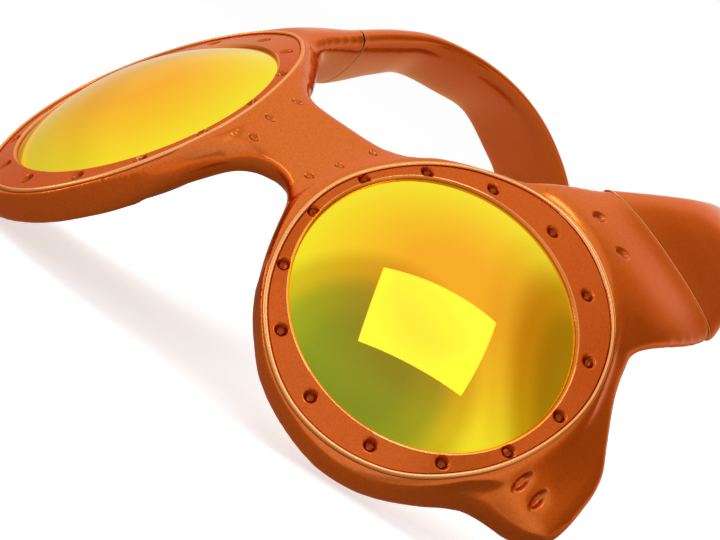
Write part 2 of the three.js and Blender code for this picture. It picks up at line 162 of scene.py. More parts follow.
# %% Modifiers, smoothing and mirrored copies
def with_modifier(bm, kind, **values):
    """Run one modifier over a bmesh, which is used up, and return the result as a bmesh."""
    obj = add_object(bm, "working")
    modifier = obj.modifiers.new(kind, kind)
    for key, value in values.items():
        setattr(modifier, key, value)
    out = bmesh.new()
    out.from_mesh(obj.evaluated_get(bpy.context.evaluated_depsgraph_get()).to_mesh())
    mesh = obj.data
    bpy.data.objects.remove(obj)
    bpy.data.meshes.remove(mesh)
    return out


def boolean(bm, tool_bm, operation="DIFFERENCE"):
    tool = add_object(tool_bm, "tool")
    out = with_modifier(bm, "BOOLEAN", operation=operation, solver="EXACT", object=tool)
    mesh = tool.data
    bpy.data.objects.remove(tool)
    bpy.data.meshes.remove(mesh)
    return out


def relax(bm, verts, passes):
    axes = {"use_axis_x": True, "use_axis_y": True, "use_axis_z": True}
    for _ in range(passes):
        bmesh.ops.smooth_vert(bm, verts=verts, factor=0.5, **axes)


def joined(bm, *others):
    for other in others:
        mesh = bpy.data.meshes.new("joined")
        other.to_mesh(mesh)
        other.free()
        bm.from_mesh(mesh)
        bpy.data.meshes.remove(mesh)
    return bm


def on_side(bm, side):
    """A copy of a mesh in the worn pose, set down on the table; mirrored for the right side."""
    bm = bm.copy()
    bmesh.ops.transform(bm, matrix=WORN, verts=bm.verts)
    if side < 0:
        bmesh.ops.transform(bm, matrix=FLIP, verts=bm.verts)
        bmesh.ops.reverse_faces(bm, faces=bm.faces)
    return bm


def both(bm):
    """A left-hand mesh in the worn pose and its mirror image, set down on the table."""
    return joined(on_side(bm, 1), on_side(bm, -1))


print("sides:", ", ".join(SIDES))

# %% [markdown]
# Metallic lacquer is fine metal flake under a clear coat. Every flake could be a speck of mesh,
# but they are far too small and many. One node group makes them instead: tiny Voronoi cells that
# shift the brightness, slow clouding where the lacquer pools, and the faint ripple of a sprayed
# coat. The group gives out values only; the shader itself stays in each material.

# %% Node group: metal flake
FLAKES, CLOUDS, RIPPLES = 5200, 60, 700  # per metre
CLOUD_GLOSS = 0.12


def math_node(tree, operation, a, b):
    node = tree.nodes.new("ShaderNodeMath")
    node.operation = operation
    for socket, value in zip(node.inputs, (a, b)):
        if isinstance(value, (int, float)):
            socket.default_value = value
        else:
            tree.links.new(value, socket)
    return node.outputs[0]


def texture(tree, kind, scale, **values):
    node = tree.nodes.new(kind)
    coordinates = tree.nodes.new("ShaderNodeTexCoord")
    tree.links.new(coordinates.outputs["Object"], node.inputs["Vector"])
    node.inputs["Scale"].default_value = scale
    for key, value in values.items():
        node.inputs[key].default_value = value
    return node


flake = bpy.data.node_groups.new("metal_flake", "ShaderNodeTree")
for label in ("Sparkle", "Clouding"):
    flake.interface.new_socket(label, in_out="INPUT", socket_type="NodeSocketFloat")
for label in ("Shade", "Gloss", "Height"):
    flake.interface.new_socket(label, in_out="OUTPUT", socket_type="NodeSocketFloat")
flake_in = flake.nodes.new("NodeGroupInput")
flake_out = flake.nodes.new("NodeGroupOutput")
cells = texture(flake, "ShaderNodeTexVoronoi", FLAKES)
split = flake.nodes.new("ShaderNodeSeparateColor")
flake.links.new(cells.outputs["Color"], split.inputs[0])
clouds = texture(flake, "ShaderNodeTexNoise", CLOUDS, Detail=4)
ripple = texture(flake, "ShaderNodeTexNoise", RIPPLES, Detail=2)
shifts = []
for value, amount in ((split.outputs[0], "Sparkle"), (clouds.outputs["Fac"], "Clouding")):
    centred = math_node(flake, "SUBTRACT", value, 0.5)
    shifts.append(math_node(flake, "MULTIPLY", centred, flake_in.outputs[amount]))
shade = math_node(flake, "ADD", math_node(flake, "ADD", *shifts), 1.0)
gloss = math_node(flake, "MULTIPLY", clouds.outputs["Fac"], CLOUD_GLOSS)
for label, value in (("Shade", shade), ("Gloss", gloss), ("Height", ripple.outputs["Fac"])):
    flake.links.new(value, flake_out.inputs[label])
print("node group:", flake.name)

# %% [markdown]
# A finish is one material, and its nodes could be set up by hand each time. But the same few come
# back in all of them: a colour that a value makes lighter or darker, a bump, a vertex attribute
# and plain values on the shader's sockets. So each of these is a helper of a few lines.

# %% Helpers for materials
def new_material(name):
    material = bpy.data.materials.new(name)
    material.use_nodes = True
    tree = material.node_tree
    return material, tree, tree.nodes["Principled BSDF"]


def shaded(tree, colour, shade):
    node = tree.nodes.new("ShaderNodeVectorMath")
    node.operation = "SCALE"
    node.inputs[0].default_value = colour
    tree.links.new(shade, node.inputs["Scale"])
    return node.outputs[0]


def bumped(tree, height, strength, distance):
    node = tree.nodes.new("ShaderNodeBump")
    node.inputs["Strength"].default_value = strength
    node.inputs["Distance"].default_value = distance
    tree.links.new(height, node.inputs["Height"])
    return node.outputs[0]


def set_values(shader, **values):
    for key, value in values.items():
        shader.inputs[key.replace("_", " ")].default_value = value


def attribute(tree, name):
    node = tree.nodes.new("ShaderNodeAttribute")
    node.attribute_name = name
    return node.outputs["Fac"]


print("materials start from:", bpy.types.ShaderNodeBsdfPrincipled.bl_rna.name)

# %% [markdown]
# The frame and its rings share one copper lacquer recipe; the rings' copy is set darker, which is
# painted shade. The lacquer is painted darker in the pits, as painted shade, and brighter on the
# beads and along the seams, as a painted highlight. A noise could place these, but only by
# chance, so two vertex attributes of the mesh say where they are.

# %% Copper lacquer
SPARKLE, CLOUDING = 0.2, 0.08
# Painted shade: how much darker the colour is painted at the bottom of a pit.
PIT_PAINTED_SHADE = 0.55  # share of the colour that is lost at the bottom of a pit
# Painted highlight: how much pale copper is mixed in on beads, inner edges and seams.
HIGHLIGHT_SHARE = 0.75
HIGHLIGHT_COPPER = (0.95, 0.5, 0.19, 1)
RIPPLE_STRENGTH, RIPPLE_DEEP = 0.06, 0.02 * MM


def lacquer(name, colour, rough, coat):
    material, tree, shader = new_material(name)
    group = tree.nodes.new("ShaderNodeGroup")
    group.node_tree = flake
    group.inputs["Sparkle"].default_value = SPARKLE
    group.inputs["Clouding"].default_value = CLOUDING
    # Painted shade: the colour is darkened where the pit attribute is set.
    painted_pit_shade = math_node(tree, "MULTIPLY", attribute(tree, "pit"), PIT_PAINTED_SHADE)
    pit_shaded = math_node(tree, "SUBTRACT", 1.0, painted_pit_shade)
    shade = math_node(tree, "MULTIPLY", group.outputs["Shade"], pit_shaded)
    # Painted highlight: pale copper is mixed in where the vertex attribute marks it.
    highlighted = tree.nodes.new("ShaderNodeMix")
    highlighted.data_type = "RGBA"
    share = math_node(tree, "MULTIPLY", attribute(tree, "painted_highlight"), HIGHLIGHT_SHARE)
    tree.links.new(share, highlighted.inputs[0])
    tree.links.new(shaded(tree, colour, shade), highlighted.inputs["A"])
    highlighted.inputs["B"].default_value = HIGHLIGHT_COPPER
    tree.links.new(highlighted.outputs["Result"], shader.inputs["Base Color"])
    roughness = math_node(tree, "ADD", group.outputs["Gloss"], rough)
    tree.links.new(roughness, shader.inputs["Roughness"])
    bump = bumped(tree, group.outputs["Height"], RIPPLE_STRENGTH, RIPPLE_DEEP)
    tree.links.new(bump, shader.inputs["Normal"])
    set_values(shader, Metallic=0.95, Coat_Weight=coat, Coat_Roughness=0.02)
    set_values(shader, Specular_Tint=(1, 0.5, 0.22, 1))
    return material


copper = lacquer("copper_lacquer", (0.68, 0.14, 0.01), 0.17, 0.36)
# The rings' copy is the same lacquer in a darker tone, which is painted shade.
ring_copper_shaded = lacquer("ring_lacquer", (0.6, 0.1, 0.006), 0.15, 0.2)
print("lacquers:", copper.name, ring_copper_shaded.name)

# %% [markdown]
# The lens carries a mirror film of a few layers. Its colour depends on how thick it lies, and it
# thins towards the rim, so it goes from orange to yellow. A real thin film could be worked out
# from the angle of view, but that would be lost in the export. A colour ramp over the distance
# from the middle, which the mesh keeps as an attribute, gives the same look from all sides.

# %% Mirror film
FILM_TONES = (
    (0.3, (0.95, 0.42, 0.012, 1)),
    (0.62, (0.95, 0.56, 0.012, 1)),
    (0.95, (0.93, 0.77, 0.015, 1)),
)
FILM_PATCHES = 40  # per metre
FILM_DRIFT = 0.25


def ramp_node(tree, value, stops, interpolation="EASE"):
    node = tree.nodes.new("ShaderNodeValToRGB")
    node.color_ramp.interpolation = interpolation
    for _ in stops[2:]:
        node.color_ramp.elements.new(0.5)
    for element, (at, colour) in zip(node.color_ramp.elements, stops):
        element.position = at
        element.color = colour
    tree.links.new(value, node.inputs[0])
    return node.outputs[0]


mirror, tree, shader = new_material("mirrored_lens")
film = texture(tree, "ShaderNodeTexNoise", FILM_PATCHES, Detail=1)
centred = math_node(tree, "SUBTRACT", film.outputs["Fac"], 0.5)
drift = math_node(tree, "MULTIPLY", centred, FILM_DRIFT)
thinness = math_node(tree, "ADD", attribute(tree, "rim"), drift)
film_colour = ramp_node(tree, thinness, FILM_TONES, "LINEAR")
tree.links.new(film_colour, shader.inputs["Base Color"])
set_values(shader, Metallic=0.95, Roughness=0.03, Coat_Weight=0.14, Coat_Roughness=0.02)
set_values(shader, Specular_Tint=(1, 0.88, 0.5, 1))
print("film tones:", len(FILM_TONES))

# %% [markdown]
# The pads are matt rubber with a fine moulded grain, and the pins are turned steel. Plain colours
# would do at a distance. A little noise in tone, gloss and height makes them hold up close to.

# %% Rubber and steel
RUBBER_TONE, STEEL_TONE = (0.05, 0.026, 0.015), (0.56, 0.56, 0.58)
RUBBER_GRAIN, RUBBER_CLOUDS, LATHE_MARKS = 2500, 120, 1500  # per metre
GRAIN_STRENGTH, GRAIN_DEEP = 0.35, 0.05 * MM
HALF = 0.5  # noise lies round a half, so tone plus a half lies round one

rubber, tree, shader = new_material("soft_rubber")
grain = texture(tree, "ShaderNodeTexNoise", RUBBER_GRAIN, Detail=3)
tone = texture(tree, "ShaderNodeTexNoise", RUBBER_CLOUDS, Detail=3)
colour = shaded(tree, RUBBER_TONE, math_node(tree, "ADD", tone.outputs["Fac"], HALF))
tree.links.new(colour, shader.inputs["Base Color"])
bump = bumped(tree, grain.outputs["Fac"], GRAIN_STRENGTH, GRAIN_DEEP)
tree.links.new(bump, shader.inputs["Normal"])
set_values(shader, Roughness=0.78)

steel, tree, shader = new_material("pin_steel")
marks = texture(tree, "ShaderNodeTexNoise", LATHE_MARKS, Detail=2)
colour = shaded(tree, STEEL_TONE, math_node(tree, "ADD", marks.outputs["Fac"], HALF))
tree.links.new(colour, shader.inputs["Base Color"])
roughness = math_node(tree, "MULTIPLY", marks.outputs["Fac"], HALF)
tree.links.new(roughness, shader.inputs["Roughness"])
set_values(shader, Metallic=1.0)
print("materials:", ", ".join(m.name for m in (copper, ring_copper_shaded, mirror, rubber, steel)))

# %% [markdown]
# Each arm, and the root that carries it, is a band that bends and twists. It could be a bevelled
# curve, but the radius and tilt of its points say little about where its two edges run. Here the
# edges come first, as in boatbuilding: a spline runs through the stations of each rail, and the
# band is as wide as the rails are apart and lies square to both.

# %% Rails of the arms
ARM = (  # inner rail, outer rail, thickness, in millimetres; sideways from the lens centre
    ((-13.25, 22, 2.5), (17.45, 20, -12.6), 7),
    ((-9.65, 31, 1.5), (18.6, 32, -17.8), 7.6),
    ((-5.75, 46, -7), (15.3, 51.4, -31.8), 6.2),
    ((-3.75, 58.5, -14.7), (12.2, 61.8, -34), 5.4),
    ((-3.25, 68, -21.5), (12.4, 70.5, -38.5), 4.7),
    ((-5.55, 79.4, -32.5), (12, 82, -50), 4.3),
    ((-6.05, 91, -48), (11.5, 90, -59.2), 4),
    ((-6.05, 100.5, -66), (11.1, 96.5, -73.3), 3.8),
    ((-6.05, 106.5, -85), (10.95, 101, -86), 3.7),
    ((-5.55, 108, -108), (10.45, 102, -108), 3.6),
    ((-4.55, 103, -130), (8.95, 97, -129.5), 3.4),
    ((-2.55, 95, -145), (6.45, 91, -143.5), 2.6),
)
SPANS = len(ARM) - 1
SEAM = 2 / SPANS
SEAM_GAP = 0.25 * MM
TINY = 1e-4
RAILS = [[Vector(row[k]) * MM + Vector((SPREAD, 0, 0)) for row in ARM] for k in (0, 1)]
THICKS = [Vector((i, row[2] * MM, 0)) for i, row in enumerate(ARM)]


def spline(points, t, power=0.25):
    """Catmull-Rom point: power 0.25 is the centripetal kind, 0 the uniform kind."""
    last = len(points) - 1
    i = min(int(t * last), last - 1)
    w = t * last - i
    p1, p2 = points[i], points[i + 1]
    p0 = points[i - 1] if i else p1 * 2 - p2
    p3 = points[i + 2] if i + 2 <= last else p2 * 2 - p1
    d0, d1, d2 = ((b - a).length_squared**power for a, b in ((p0, p1), (p1, p2), (p2, p3)))
    m1 = ((p1 - p0) / d0 - (p2 - p0) / (d0 + d1) + (p2 - p1) / d1) * d1
    m2 = ((p2 - p1) / d1 - (p3 - p1) / (d1 + d2) + (p3 - p2) / d2) * d1
    return p1 + m1 * w + (3 * (p2 - p1) - 2 * m1 - m2) * w**2 + (2 * (p1 - p2) + m1 + m2) * w**3


def arm_frame(t):
    """Middle, across, normal and way of the arm at t, with its width and thickness."""
    a, b = (spline(rail, t) for rail in RAILS)
    near, far = max(t - TINY, 0), min(t + TINY, 1)
    ways = [(spline(rail, far) - spline(rail, near)).normalized() for rail in RAILS]
    across = (b - a).normalized()
    normal = across.cross(ways[0] + ways[1]).normalized()
    wide, thick = (b - a).length, spline(THICKS, t, 0).y
    return (a + b) / 2, across, normal, normal.cross(across), wide, thick


SEAM_MIDDLE, ACROSS, OUT, AWAY, seam_wide, seam_thick = arm_frame(SEAM)
print(f"seam {seam_wide / MM:.1f} mm wide and {seam_thick / MM:.1f} mm thick, away {AWAY}")

# %% [markdown]
# Across the rails the band is a softly squared oval. The skin could be joined face by face from a
# grid of points. Instead a circle is pressed to that oval and extruded from station to station,
# which keeps its rows joined by itself. A section is a matrix, so a pad or a bed is only another
# size and place.

# %% Sections and lofts
SQUARE = 2.25


def section(t, wide=1.0, thick=1.0, grow=0.0, on=0.0, lift=0.0, height=None):
    """Matrix from a unit circle to the arm's section at t; on moves it ahead, lift off the arm."""
    middle, across, normal, way, full_wide, full_thick = arm_frame(t)
    half_wide = full_wide * wide / 2 + grow
    half_thick = (height or full_thick) * thick / 2 + grow
    place = middle + way * on + normal * (lift * full_thick / 2)
    axes = Matrix((across * half_wide, normal * half_thick, way * MM)).transposed().to_4x4()
    return Matrix.Translation(place) @ axes


def loft(sections, points=48):
    """Skin through a row of section matrices, closed at both ends."""
    bm = bmesh.new()
    bmesh.ops.create_circle(bm, cap_ends=False, segments=points, radius=1)
    for v in bm.verts:
        v.co = [math.copysign(abs(c) ** (2 / SQUARE), c) for c in v.co]
    bmesh.ops.transform(bm, matrix=sections[0], verts=bm.verts)
    first = rim = bm.edges[:]
    for old, new in zip(sections, sections[1:]):
        made = bmesh.ops.extrude_edge_only(bm, edges=rim)["geom"]
        rim = [g for g in made if isinstance(g, bmesh.types.BMEdge)]
        verts = [g for g in made if isinstance(g, bmesh.types.BMVert)]
        bmesh.ops.transform(bm, matrix=new @ old.inverted(), verts=verts)
    for edges in (first, rim):
        bmesh.ops.contextual_create(bm, geom=edges)
    bmesh.ops.recalc_face_normals(bm, faces=bm.faces)
    return bm


first, last = (tuple(round(x, 4) for x in section(t).translation) for t in (0, 1))
print("sections: from", first, "to", last)

# %% [markdown]
# The arm swings on a pin that lies inside its thickness, along the seam. The pin runs through
# three barrels: the outer two belong to the front and the middle one to the arm. They could be
# modelled into each skin, but they have to share one axis. So one helper lays cylinders along the
# seam, which first cut the room for the barrels and then build them, and the pin is one more.

# %% Hinge barrels and pins
HINGE_DEEP = 2.7 * MM
HINGE_GAP = 0.35 * MM
KNUCKLE_R, KNUCKLE_LONG = 1.5 * MM, 4.4 * MM
BORE_R, PIN_R, PIN_SHY = 0.9 * MM, 0.7 * MM, 0.4 * MM
PIN_CHAMFER = 0.25 * MM
INNER_END = KNUCKLE_LONG / 2 + HINGE_GAP
OUTER_END = INNER_END + KNUCKLE_LONG
FRONT_BARRELS = [(-OUTER_END, -INNER_END), (INNER_END, OUTER_END)]
ARM_BARREL = [(-KNUCKLE_LONG / 2, KNUCKLE_LONG / 2)]
BORE = [(-OUTER_END - MM, OUTER_END + MM)]
PIN = [(PIN_SHY - OUTER_END, OUTER_END - PIN_SHY)]
hinge_place = SEAM_MIDDLE + OUT * (seam_thick / 2 - HINGE_DEEP) + AWAY * (SEAM_GAP / 2)
HINGE = Matrix.Translation(hinge_place) @ ACROSS.to_track_quat("Z", "Y").to_matrix().to_4x4()


def barrels(radius, spans, grow=0.0):
    bm = bmesh.new()
    for start, end in spans:
        bmesh.ops.create_cone(
            bm,
            cap_ends=True,
            segments=40,
            radius1=radius + grow,
            radius2=radius + grow,
            depth=end - start + 2 * grow,
            matrix=HINGE @ Matrix.Translation((0, 0, (start + end) / 2)),
        )
    return bm


def chamfer(bm, edges, offset):
    bmesh.ops.bevel(
        bm, geom=edges, offset=offset, segments=3, profile=0.5, affect="EDGES", material=-1
    )


pin = barrels(PIN_R, PIN)
chamfer(pin, [e for e in pin.edges if e.calc_face_angle() > 1], PIN_CHAMFER)
for name, side in SIDES.items():
    piece = add_object(on_side(pin, side), f"pin_turned_{name}", sharp=40)
    finish_piece(piece, "front", f"hinge_pin_{name}", steel)

# %% [markdown]
# A grip pad of soft rubber is let into the inner side of each arm near its tip. It could be cut
# from the arm's own skin, but its blunt ends need finer sections than the arm has there. So it is
# a small loft of its own along the same rails, and a grown copy of it will cut the bed.

# %% Grip pads: the shape
PAD_START, PAD_END, PAD_WIDE, PAD_THICK = 0.78, 0.955, 0.5, 2.4 * MM
PAD_REACH = 0.004  # how far a millimetre of growth goes along the rails
PAD_STEPS, PAD_POINTS = 40, 40
PAD_BLUNT = 0.85


def plump(t):
    """Share of a pad's full size at t along it, from one blunt end to the other."""
    return math.sqrt(1 - PAD_BLUNT * (2 * t - 1) ** 4)


def grip_pad(grow):
    sections = []
    for t in steps(0, 1, PAD_STEPS):
        full = plump(t)
        place = PAD_START + (PAD_END - PAD_START) * t + (2 * t - 1) * grow / MM * PAD_REACH
        sections.append(section(place, PAD_WIDE * full, full, grow, lift=-1, height=PAD_THICK))
    return loft(sections, PAD_POINTS)


grip = grip_pad(0)
print("grip pad:", len(grip.faces), "faces")

# %% [markdown]
# An arm is the loft from the seam to a rounded tip. The bed of the pad and the hinge could be
# drawn into its sections, but they cross the rails at other angles. So they are cut and added
# last, with exact booleans. Before that, the rim at the seam is bevelled and given a painted
# highlight.

# %% Arms
ARM_STEPS = 110
TIP_LONG, TIP_STEPS, TIP_BLUNT = 2.4 * MM, 9, 0.97
SEAM_CHAMFER = 0.2 * MM
HIGHLIGHT_DEEP = SEAM_GAP + SEAM_CHAMFER * 0.6

arm = [section(SEAM, on=SEAM_GAP)] + [section(t) for t in steps(SEAM, 1, ARM_STEPS)[1:]]
for s in steps(0, 1, TIP_STEPS)[1:]:
    share = math.sqrt(1 - (TIP_BLUNT * s) ** 2)
    arm.append(section(1, share, share, on=s * TIP_LONG))
arm = loft(arm)
arm.faces.ensure_lookup_table()
caps = [f for f in arm.faces if len(f.verts) > 4]
cap = min(caps, key=lambda f: (f.calc_center_median() - SEAM_MIDDLE).length)
chamfer(arm, cap.edges[:], SEAM_CHAMFER)
painted_highlight = arm.verts.layers.float.new("painted_highlight")
# Painted highlight along the arm's rim at the seam.
for v in arm.verts:
    v[painted_highlight] = float((v.co - SEAM_MIDDLE).dot(AWAY) < HIGHLIGHT_DEEP)
arm = boolean(arm, grip_pad(GAP))
arm = boolean(arm, barrels(KNUCKLE_R, FRONT_BARRELS, HINGE_GAP))
arm = boolean(arm, barrels(KNUCKLE_R, ARM_BARREL), "UNION")
arm = boolean(arm, barrels(BORE_R, BORE))
for name, side in SIDES.items():
    body = f"{name}_arm"
    piece = add_object(on_side(arm, side), f"arm_shell_{name}", sharp=40)
    finish_piece(piece, body, f"arm_{name}", copper)
    piece = add_object(on_side(grip, side), f"grip_pad_soft_{name}", sharp=60)
    finish_piece(piece, body, f"grip_pad_{name}", rubber)

# %% [markdown]
# The nose pads are rubber cushions along the back of the rims, beside the nose. A bent box would
# give their length but not their soft ends. They are lofted as the grip pads are, along an arc
# round the lens, and a grown copy of each cuts its bed when the front is made.

# %% Nose pads
NOSE_FROM, NOSE_TO = math.radians(200), math.radians(244)
NOSE_R, NOSE_WIDE = 23.7 * MM, 3 * MM
NOSE_SUNK, NOSE_PROUD = 1.3 * MM, 0.35 * MM
NOSE_DEEPER = 0.5 * MM  # the relaxed skin lies a little inside the CAD solid
FRAME_BACK = 7.6 * MM


def nose_pad(grow):
    sections = []
    for t in steps(0, 1, PAD_STEPS):
        full = plump(t)
        angle = NOSE_FROM + (NOSE_TO - NOSE_FROM) * t + (2 * t - 1) * grow / SIGHT
        low, high = NOSE_PROUD * full + grow, NOSE_SUNK + grow
        turn = Matrix.Rotation(angle, 4, "Z")
        place = Matrix.Translation((NOSE_R, 0, (high - low) / 2 - FRAME_BACK + NOSE_DEEPER))
        size = Matrix.Diagonal((NOSE_WIDE / 2 * full + grow, (high + low) / 2, MM, 1))
        sections.append(FACE @ turn @ place @ Matrix.Rotation(math.pi / 2, 4, "X") @ size)
    return loft(sections, PAD_POINTS)


cushion = nose_pad(0)
for name, side in SIDES.items():
    piece = add_object(on_side(cushion, side), f"nose_pad_soft_{name}", sharp=60)
    finish_piece(piece, "front", f"nose_pad_{name}", rubber)

# %% [markdown]
# A ring and the pocket it sits in are turned shapes, but their outer edge is a lopsided oval. A
# loft could follow the oval, with a section for each degree. Spin is shorter: it turns one row of
# corners round the lens axis, as on a lathe. Then the corners that lie past SPUN_R are moved with
# the oval edge, and those on the ring's face spread evenly across its changing width.

# %% Turned shapes with an oval edge
SPUN_R = 27 * MM
SEAT_R = LENS_R + GAP
RING_BACK = -2.8 * MM
BEAD_FOOT = -1.2 * MM
HAIR = 0.01 * MM
INNER_LIP = 0.05 * MM  # corners this near the sight stay round


def turned(corners, count, closed):
    bm = bmesh.new()
    verts = [bm.verts.new((r, 0, n)) for r, n in corners]
    pairs = list(zip(verts, verts[1:])) + ([(verts[-1], verts[0])] if closed else [])
    edges = [bm.edges.new(pair) for pair in pairs]
    axis = {"cent": (0, 0, 0), "axis": (0, 0, 1)}
    bmesh.ops.spin(bm, geom=verts + edges, angle=math.tau, steps=count, use_merge=True, **axis)
    bmesh.ops.remove_doubles(bm, verts=bm.verts, dist=WELD)
    for v in bm.verts:
        flat = v.co.xy
        r = flat.length
        on_face = v.co.z > BEAD_FOOT / 2
        if r > SIGHT + INNER_LIP and (r > SPUN_R - HAIR or on_face):
            edge = oval(math.atan2(flat.y, flat.x))
            share = (r - SIGHT) / (SPUN_R - SIGHT)
            r = edge + r - SPUN_R if r > SPUN_R else SIGHT + (edge - SIGHT) * share
            v.co.xy = flat.normalized() * r
            if on_face:
                v.co.z += ring_face(r)
    bmesh.ops.recalc_face_normals(bm, faces=bm.faces)
    return bm


print("ring width:", [round((oval(math.radians(a)) - SIGHT) / MM, 1) for a in range(0, 360, 45)])

# %% [markdown]
# The front is one moulding, so its rims, bridge, lobes and roots flow into one another. Bevels
# between them would have to meet at every crossing. Voxel remesh has no such trouble: a copy of
# the CAD solid is welded and laid over smooth lofts of the two roots, with its pockets plugged,
# and all of it is fused into one even skin. That skin is then relaxed, most of all on the bridge.

# %% Front frame: the skin
VOXEL = 0.6 * MM
PASSES = 18
BRIDGE_HALF, BRIDGE_PASSES = 15 * MM, 28
ROOT_STEPS, ROOT_PAST = 40, 1.5 * MM
PLUG_WIDE, PLUG_DEEP = SPUN_R + 0.6 * MM, -4.4 * MM
PLUG_IN, PLUG_TAPER, PLUG_TURNS = 3 * MM, 0.1 * MM, 180


def plug():
    """Fills the pocket up to the ring's face while the skin is made."""
    corners = [(0, 0), (SIGHT - PLUG_IN, 0), (PLUG_WIDE - PLUG_TAPER, 0)]
    corners += [(PLUG_WIDE, PLUG_DEEP), (0, PLUG_DEEP)]
    return turned(corners, PLUG_TURNS, False)


root = [section(t) for t in steps(0, SEAM, ROOT_STEPS)] + [section(SEAM, on=ROOT_PAST)]
root = loft(root)
stopper = plug()
bmesh.ops.transform(stopper, matrix=FACE, verts=stopper.verts)
front = bmesh.new()
front.from_mesh(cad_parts["front_frame"].data)
bmesh.ops.remove_doubles(front, verts=front.verts, dist=WELD)
front = joined(front, both(root), both(stopper))
front = with_modifier(front, "REMESH", mode="VOXEL", voxel_size=VOXEL)
relax(front, front.verts, PASSES)
relax(front, [v for v in front.verts if abs(v.co.x) < BRIDGE_HALF], BRIDGE_PASSES)
print("front skin:", len(front.faces), "faces")

# %% [markdown]
# Round each ring the frame has a collar: it comes up level with the ring, and on the nose side it
# has a low raised step. Relaxing has rounded that off, and cutting it again would leave hard
# corners. So every vertex near a ring slides along the lens axis by as much as is missing there,
# and soft ramps let it fade out.

# %% Front frame: the collar round each ring
TERRACE, FLUSH = 0.35 * MM, 0.1 * MM
COLLAR_FROM, COLLAR_TO = -1, 6  # millimetres past the ring's edge
MEET_NONE, MEET_FULL = 3.5, 0.5  # the same
RISE_NONE, RISE_FULL = 1.5, 0.7  # millimetres off the ring's face
STEP_WIDE, STEP_SOFT = 1.7, 0.3  # millimetres
STEP_WIDENS = 0.08  # per degree past STEP_TURN
STEP_TURN = 172
STEP_STARTS, STEP_ENDS = (120, 135), (208, 200)  # degrees: none, full
STEP_LOWEST = -4 * MM


def ease(x, none, full):
    """Smooth ramp that is 0 at one value and 1 at the other."""
    x = min(max((x - none) / (full - none), 0), 1)
    return x * x * (3 - 2 * x)


def collar(side, co):
    """How far the skin moves along the lens axis to meet the ring flush, with its raised step."""
    p = into_eye[side] @ co
    degrees = math.degrees(math.atan2(p.y, side * p.x)) % 360
    r = math.hypot(p.x, p.y)
    past = (r - oval(math.radians(degrees))) / MM
    if not COLLAR_FROM < past < COLLAR_TO:
        return 0
    rise = ring_face(r) - FLUSH - p.z
    meet = ease(past, MEET_NONE, MEET_FULL) * ease(abs(rise) / MM, RISE_NONE, RISE_FULL)
    edge = STEP_WIDE + STEP_WIDENS * max(0, degrees - STEP_TURN)
    step = ease(past, edge + STEP_SOFT, edge - STEP_SOFT) * (p.z > STEP_LOWEST)
    return rise * meet + TERRACE * step * ease(degrees, *STEP_STARTS) * ease(degrees, *STEP_ENDS)


into_eye = {side: eye(side).inverted() for side in (1, -1)}
moved = 0
for side in (1, -1):
    axis = eye(side).to_3x3() @ Vector((0, 0, 1))
    for v in front.verts:
        if side * v.co.x > 0:
            slide = collar(side, v.co)
            v.co += axis * slide
            moved += bool(slide)
print("collars:", moved, "vertices moved")

# %% [markdown]
# Oval dents are pressed into the bridge, the shoulders and the lobes. A boolean with an egg shape
# would leave a sharp lip, where the real dents are soft. So the skin is divided finely round each
# dent, and its vertices are pushed in along a soft bowl. Dividing makes new vertices and old
# references to them fail, so the vertices are looked up again by their place.

# %% Front frame: the dents
DENTS = (  # angle round the lens, distance beyond its ring; half sizes; turn of the long side
    ((180.4, 4.4), (1.15, 0.65, 0.5), 0),
    ((170.3, 3.4), (1.15, 0.65, 0.5), 0),
    ((157.1, 4.2), (1.15, 0.65, 0.5), 0),
    ((86.9, 6.7), (1.8, 1.0, 0.6), -20),
    ((76.3, 7.0), (1.8, 1.0, 0.6), -20),
    ((348.2, 3.4), (2.2, 1.0, 0.75), 110),
    ((351.4, 6.6), (2.2, 1.0, 0.75), 110),
)
DENT_REACH = 1.6  # of its half length
DENT_CUTS, DENT_PASSES = 2, 4
DENT_PAINTED_SHADE = 0.4
SKIN_NEAR = 1.5 * MM
ABOVE_ALL = 60 * MM
BOWL_LIP, BOWL_BOTTOM = 1.15, 0.4


def bowl(q):
    """Depth of a pressed dent at q, where 1 is its edge; its lip is softly rounded."""
    return ease(q, BOWL_LIP, BOWL_BOTTOM)


def within(bm, place, reach):
    """Vertices of the skin near a place, whose z axis stands off the skin."""
    into = place.inverted()
    spot = place.translation
    near = [v for v in bm.verts if (v.co - spot).length < reach]
    return [v for v in near if abs((into @ v.co).z) < SKIN_NEAR]


def press(bm, place, sizes):
    """Divide the skin finely round a place and press an oval dent into it."""
    wide, high, deep = (x * MM for x in sizes)
    chosen = set(within(bm, place, wide * DENT_REACH))
    edges = [e for e in {e for v in chosen for e in v.link_edges} if chosen.issuperset(e.verts)]
    bmesh.ops.subdivide_edges(bm, edges=edges, cuts=DENT_CUTS, use_grid_fill=True)
    verts = within(bm, place, wide * DENT_REACH)
    relax(bm, verts, DENT_PASSES)
    pit = bm.verts.layers.float["pit"]
    into = place.inverted()
    push = place.to_3x3().col[2] * deep
    for v in verts:
        p = into @ v.co
        dent = bowl(math.hypot(p.x / wide, p.y / high))
        # Here the pit attribute only darkens the lacquer: painted shade in the dent.
        v[pit] = dent * DENT_PAINTED_SHADE
        v.co -= push * dent


front.verts.layers.float.new("pit")
skin_tree = BVHTree.FromBMesh(front)
for (degrees, beyond), sizes, turn in DENTS:
    for side in (1, -1):
        angle, long_angle = math.radians(degrees), math.radians(degrees + turn)
        r = oval(angle) + GAP + beyond * MM
        start = Vector((side * r * math.cos(angle), r * math.sin(angle), ABOVE_ALL))
        down = eye(side).to_3x3() @ Vector((0, 0, -1))
        hit, up, _, _ = skin_tree.ray_cast(eye(side) @ start, down)
        long_way = Vector((side * math.cos(long_angle), math.sin(long_angle), 0))
        y = up.cross(eye(side).to_3x3() @ long_way).normalized()
        axes = Matrix((y.cross(up), y, up)).transposed().to_4x4()
        press(front, Matrix.Translation(hit) @ axes, sizes)
print("dents:", 2 * len(DENTS), "in", len(front.faces), "faces")
